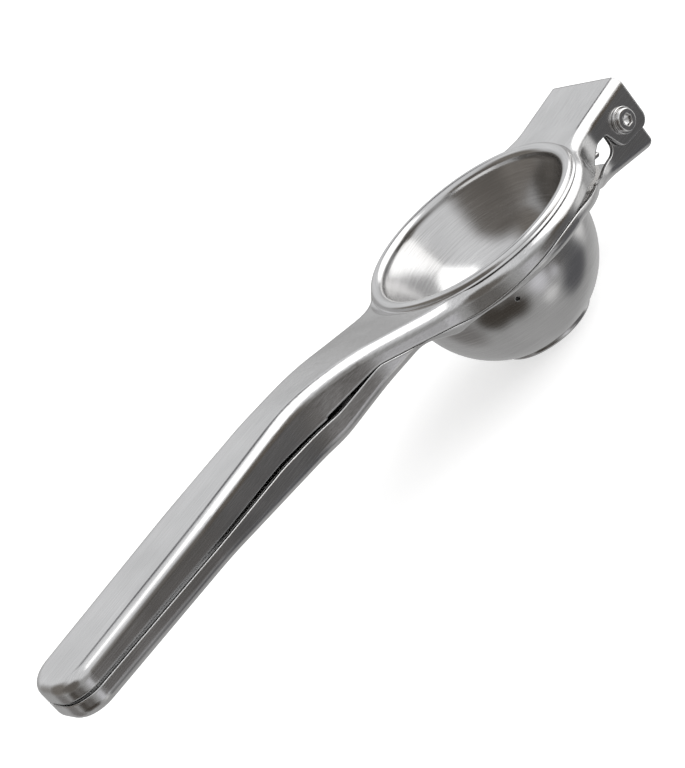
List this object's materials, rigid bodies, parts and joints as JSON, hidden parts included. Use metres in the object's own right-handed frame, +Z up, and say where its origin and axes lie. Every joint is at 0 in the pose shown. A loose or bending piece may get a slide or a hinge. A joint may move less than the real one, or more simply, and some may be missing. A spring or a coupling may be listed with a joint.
{
  "type": "hinged lemon squeezer",
  "caption": "Hinged lemon squeezer: two pressed steel handles on one pivot, a drawn cup that presses into a drawn bowl with a drained foot.",
  "frame": {"origin": "middle of the flat underside of the bowl's foot", "axes": "+Z up along the axis of the bowl, +X towards the hinge, hinge axis along Y, handles reach along -X"},
  "size_m": [0.2443, 0.0736, 0.0519],
  "materials": {
    "arm_steel": "satin stainless sheet, brushed along the handles",
    "cup_steel": "satin stainless, fine brushing round the axis",
    "bowl_steel": "satin stainless, fine brushing round the axis",
    "pivot_steel": "turned stainless",
    "screw_steel": "bright stainless",
    "washer_steel": "plain stainless"
  },
  "bodies": {
    "strainer_side": {"strainer_arm": "arm_steel", "strainer_bowl": "bowl_steel", "pivot_barrel": "pivot_steel", "pivot_screw_far": "screw_steel", "pivot_screw_near": "screw_steel", "outer_washer_far": "washer_steel", "outer_washer_near": "washer_steel", "inner_washer_far": "washer_steel", "inner_washer_near": "washer_steel"},
    "press_side": {"press_arm": "arm_steel", "press_cup": "cup_steel"}
  },
  "joints": [
    {"name": "press_hinge", "type": "hinge", "parent": "strainer_side", "child": "press_side", "pos_m": [0.0529, 0, 0.0297], "axis": [0, 1, 0], "range_deg": [0, 105]}
  ]
}
